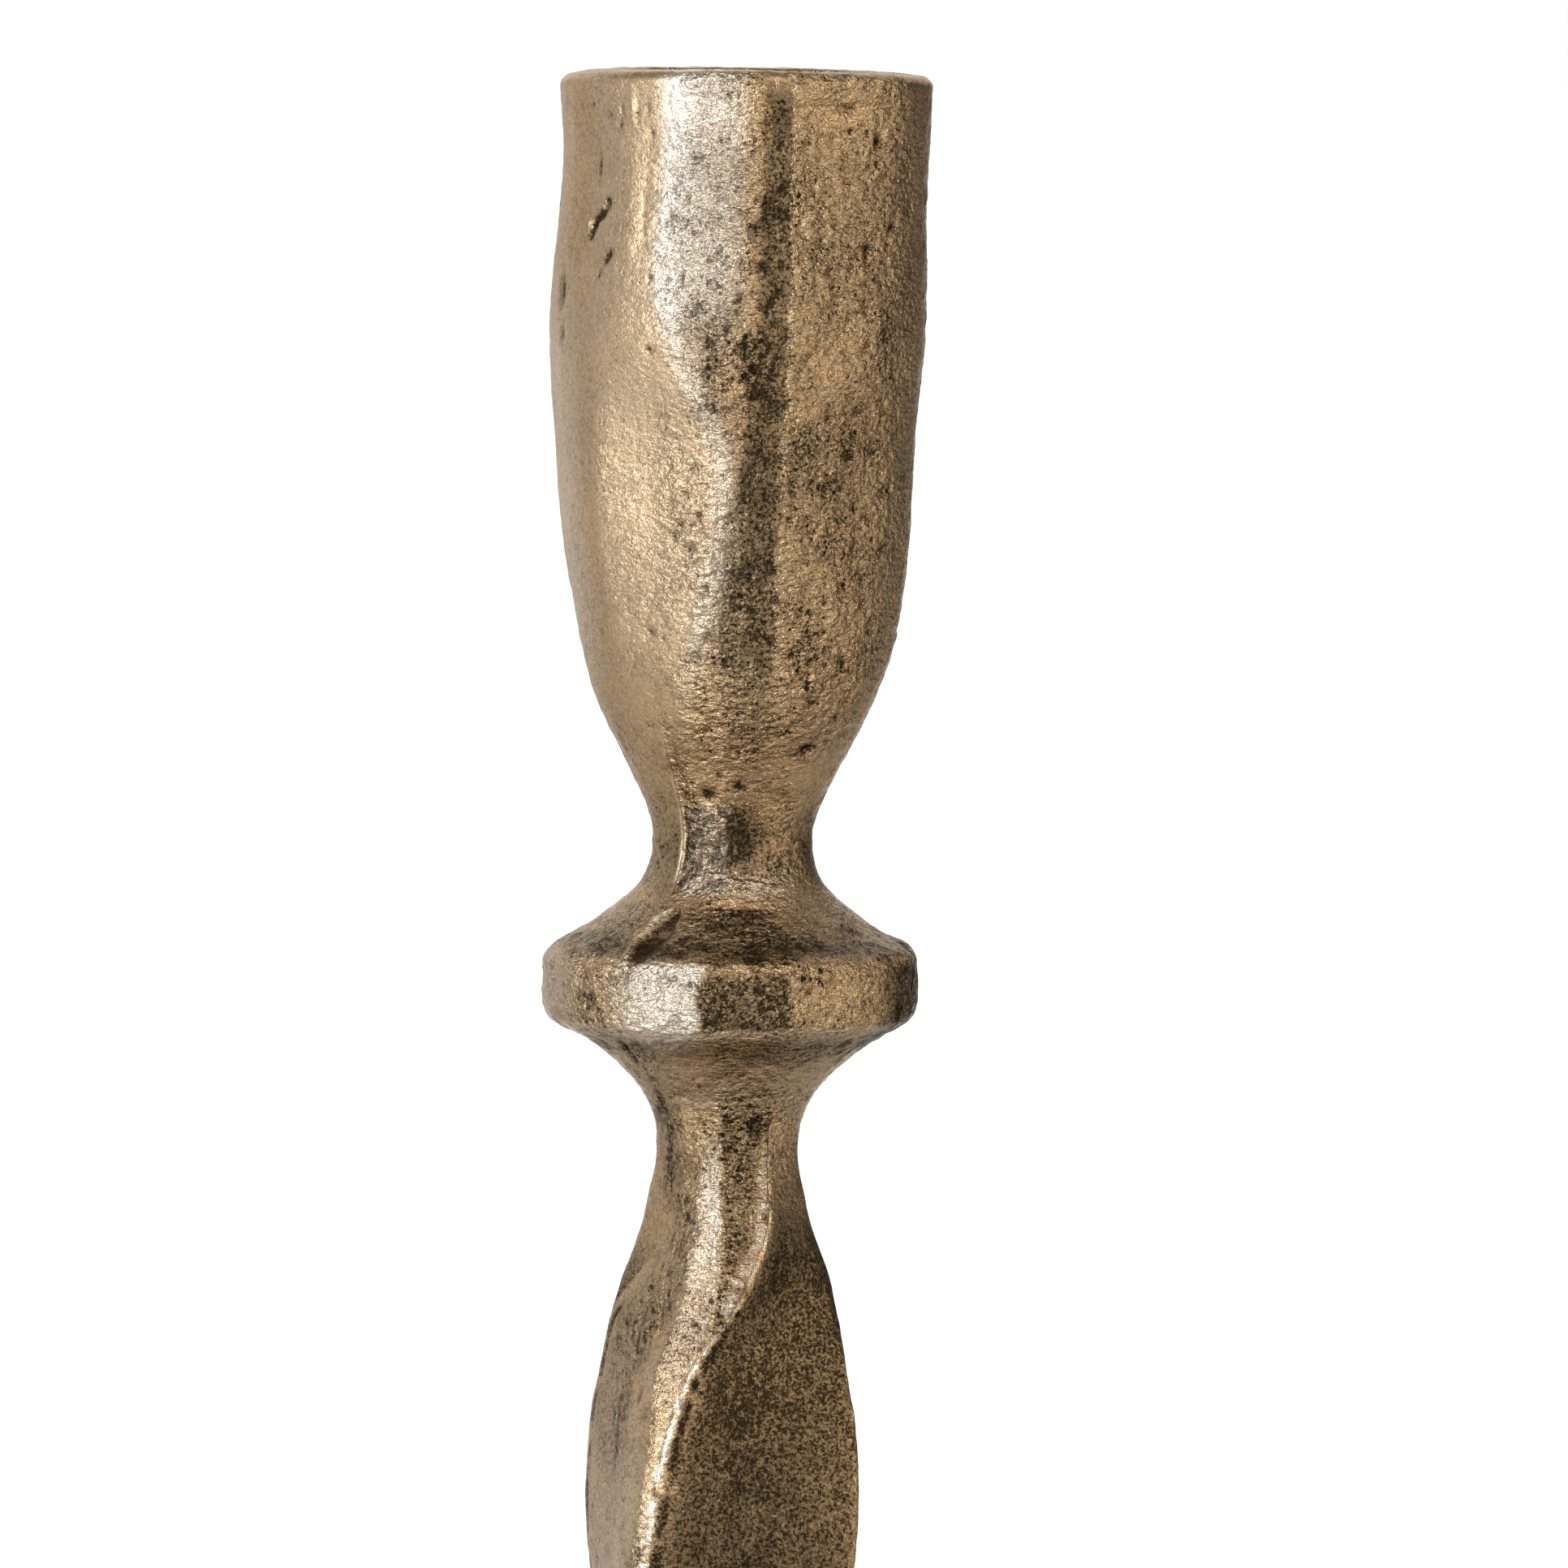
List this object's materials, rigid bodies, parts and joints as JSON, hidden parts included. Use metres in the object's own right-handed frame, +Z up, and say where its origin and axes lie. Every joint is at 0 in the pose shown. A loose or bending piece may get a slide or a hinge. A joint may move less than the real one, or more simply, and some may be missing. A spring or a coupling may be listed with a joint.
{
  "type": "candle holder",
  "caption": "Tall candlestick with a faceted tulip cup, disc collars, a twisted square stem and a flared round foot, in rough cast antique brass, for a dinner candle.",
  "frame": {"origin": "middle of the underside, on the surface that the holder stands on", "axes": "+Z up along the stem, the pictured side faces -Y, +X to the right of the picture"},
  "size_m": [0.108, 0.108, 0.321],
  "materials": {
    "antique_brass": "rough sand casting with a dark patina in its pits and brushed high spots",
    "fastener_steel": "plain machined steel",
    "felt": "pressed wool felt"
  },
  "bodies": {
    "root": {"candle_cup": "antique_brass", "upper_collar": "antique_brass", "twisted_stem": "antique_brass", "lower_collar": "antique_brass", "foot": "antique_brass", "upper_stud": "fastener_steel", "foot_bolt": "fastener_steel", "spring_washer": "fastener_steel", "flat_washer": "fastener_steel", "felt_disc": "felt"}
  },
  "joints": []
}
